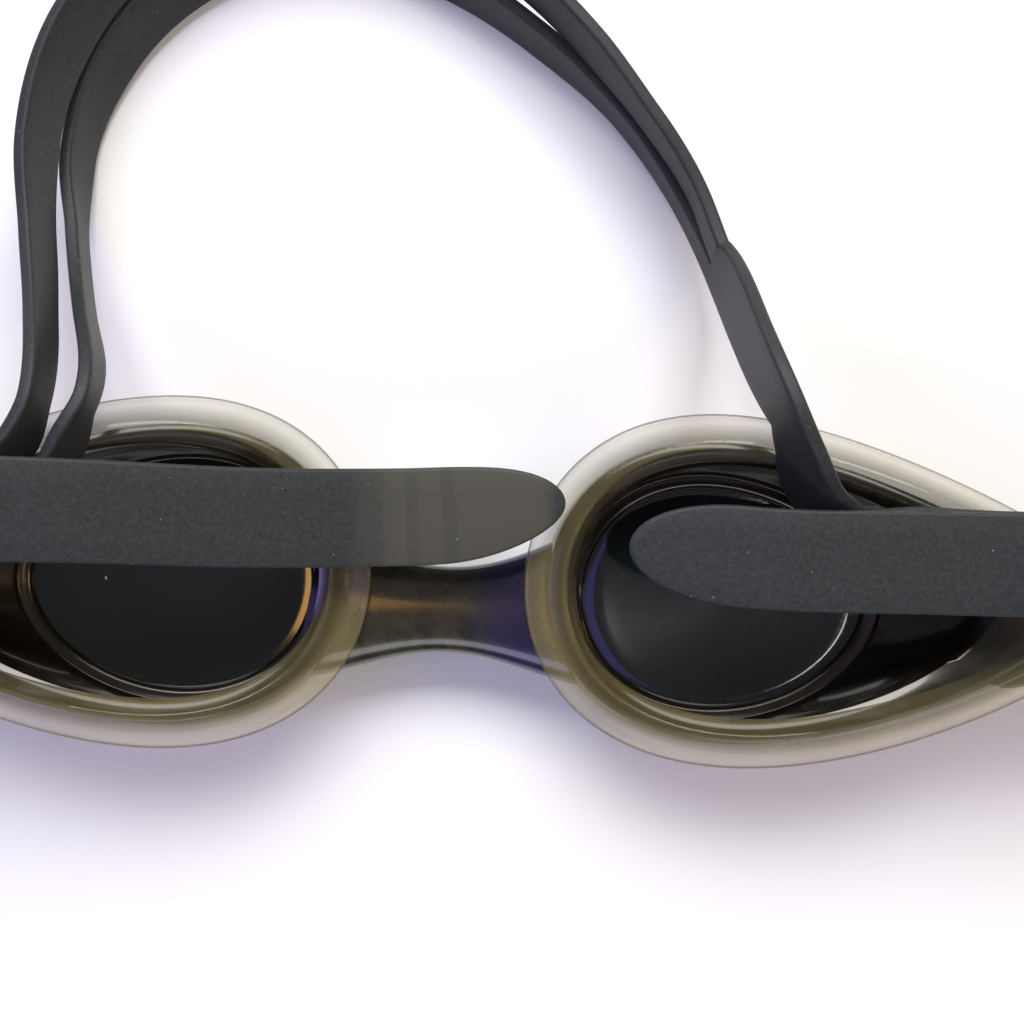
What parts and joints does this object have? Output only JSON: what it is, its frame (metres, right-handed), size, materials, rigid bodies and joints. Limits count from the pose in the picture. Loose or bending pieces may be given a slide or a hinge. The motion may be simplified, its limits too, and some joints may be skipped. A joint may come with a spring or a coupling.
{
  "type": "swimming goggles",
  "caption": "Swimming goggles with smoked oval lenses in teardrop cups, soft face seals, a saddle nose bridge, swivelling strap buckles and a split silicone head strap.",
  "frame": {"origin": "midway between the two eye cups on the plane that the lens bezels rest on, in the mirror plane of the cups", "axes": "+X towards the wearer's right, +Y towards the forehead, +Z towards the face; the goggles lie on their lenses"},
  "size_m": [0.1765, 0.1044, 0.0397],
  "materials": {
    "pearl_frame": "pearl pewter, glossy moulded",
    "smoke_seal": "translucent smoke, satin",
    "smoke_lens": "dark smoke, polished",
    "rim_plastic": "moulded, glossy",
    "buckle_plastic": "moulded, fine matt",
    "steel_pin": "turned, satin",
    "spring_steel": "rolled strip",
    "strap_silicone": "matt moulded silicone"
  },
  "bodies": {
    "root": {"frame_left": "pearl_frame", "frame_right": "pearl_frame", "seal_left": "smoke_seal", "seal_right": "smoke_seal", "lens_left": "smoke_lens", "lens_right": "smoke_lens", "lens_rim_left": "rim_plastic", "lens_rim_right": "rim_plastic", "swivel_pin_left": "steel_pin", "swivel_pin_right": "steel_pin", "strap_arm_left": "strap_silicone", "strap_arm_right": "strap_silicone", "nose_bridge": "pearl_frame", "strap_upper_strand": "strap_silicone", "strap_lower_strand": "strap_silicone"},
    "buckle_left": {"buckle_left": "buckle_plastic", "strap_bar_left": "steel_pin", "lever_pin_left": "steel_pin", "lever_spring_left": "spring_steel", "strap_tail_left": "strap_silicone"},
    "lever_left": {"release_lever_left": "buckle_plastic"},
    "buckle_right": {"buckle_right": "buckle_plastic", "strap_bar_right": "steel_pin", "lever_pin_right": "steel_pin", "lever_spring_right": "spring_steel", "strap_tail_right": "strap_silicone"},
    "lever_right": {"release_lever_right": "buckle_plastic"}
  },
  "joints": [
    {"name": "buckle_swivel_left", "type": "hinge", "parent": "root", "child": "buckle_left", "pos_m": [-0.0845, 0.0044, 0.02346], "axis": [0, -1, 0], "range_deg": [0, 35], "deforming": ["strap_arm_left"]},
    {"name": "lever_press_left", "type": "hinge", "parent": "buckle_left", "child": "lever_left", "pos_m": [-0.08606, 0.0044, 0.03465], "axis": [0, 1, 0], "range_deg": [0, 9], "stiffness_Nm_per_rad": 0.01, "deforming": ["lever_spring_left"]},
    {"name": "buckle_swivel_right", "type": "hinge", "parent": "root", "child": "buckle_right", "pos_m": [0.0845, 0.0044, 0.02346], "axis": [0, 1, 0], "range_deg": [0, 85], "deforming": ["strap_arm_right"]},
    {"name": "lever_press_right", "type": "hinge", "parent": "buckle_right", "child": "lever_right", "pos_m": [0.07693, 0.0044, 0.03185], "axis": [0, -1, 0], "range_deg": [0, 9], "stiffness_Nm_per_rad": 0.01, "deforming": ["lever_spring_right"]}
  ]
}
